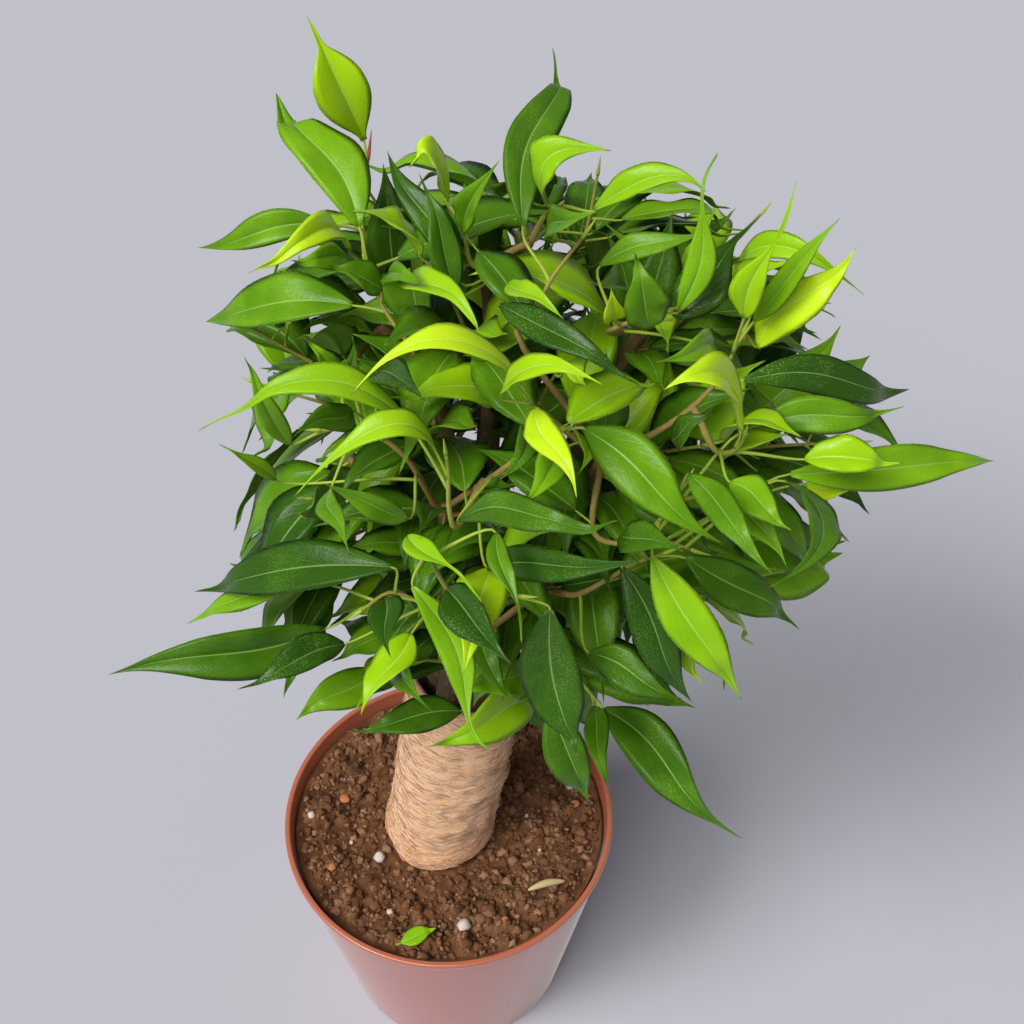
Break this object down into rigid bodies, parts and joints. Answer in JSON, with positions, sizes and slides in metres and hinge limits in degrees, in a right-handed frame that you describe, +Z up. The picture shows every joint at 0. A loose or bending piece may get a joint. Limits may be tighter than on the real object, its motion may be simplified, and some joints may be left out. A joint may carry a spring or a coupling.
{
  "type": "potted weeping fig",
  "caption": "Bushy weeping fig with pointed leaves on a jute-wrapped bundle of stems, standing in a tapered plastic nursery pot of soil.",
  "frame": {"origin": "middle of the pot's underside", "axes": "+Z up through the pot, -Y towards the side that the picture shows"},
  "size_m": [0.2216, 0.2232, 0.3852],
  "materials": {
    "terracotta_plastic": "satin",
    "peat": "matte",
    "jute": "matte",
    "bark": "matte",
    "foliage": "satin",
    "young_foliage": "satin",
    "dry_straw": "matte"
  },
  "bodies": {
    "root": {"fallen_leaf": "young_foliage", "jute_wrap": "jute", "pot": "terracotta_plastic", "shoot_far_right": "young_foliage", "shoot_front": "young_foliage", "shoot_left": "young_foliage", "shoot_low_right": "young_foliage", "shoot_middle": "young_foliage", "shoot_right": "young_foliage", "shoot_right_of_middle": "young_foliage", "shoot_tall": "young_foliage", "shoot_top": "young_foliage", "shoot_top_left": "young_foliage", "soil": "peat", "spray_01": "foliage", "spray_02": "foliage", "spray_03": "foliage", "spray_04": "foliage", "spray_05": "foliage", "spray_06": "foliage", "spray_07": "foliage", "spray_08": "foliage", "spray_09": "foliage", "spray_10": "foliage", "spray_11": "foliage", "spray_12": "foliage", "spray_13": "foliage", "spray_14": "foliage", "spray_15": "foliage", "spray_16": "foliage", "spray_17": "foliage", "spray_18": "foliage", "spray_19": "foliage", "spray_20": "foliage", "spray_21": "foliage", "spray_22": "foliage", "spray_23": "foliage", "spray_24": "foliage", "spray_25": "foliage", "spray_26": "foliage", "spray_far_right": "foliage", "spray_foot_left": "foliage", "spray_front": "foliage", "spray_left": "foliage", "spray_low_left": "foliage", "spray_low_right": "foliage", "spray_middle": "foliage", "spray_right": "foliage", "spray_tall": "foliage", "spray_top": "foliage", "spray_top_left": "foliage", "spray_upper_right": "foliage", "stem_1": "bark", "stem_2": "bark", "stem_3": "bark", "stem_4": "bark", "stem_5": "bark", "straw": "dry_straw"}
  },
  "joints": []
}
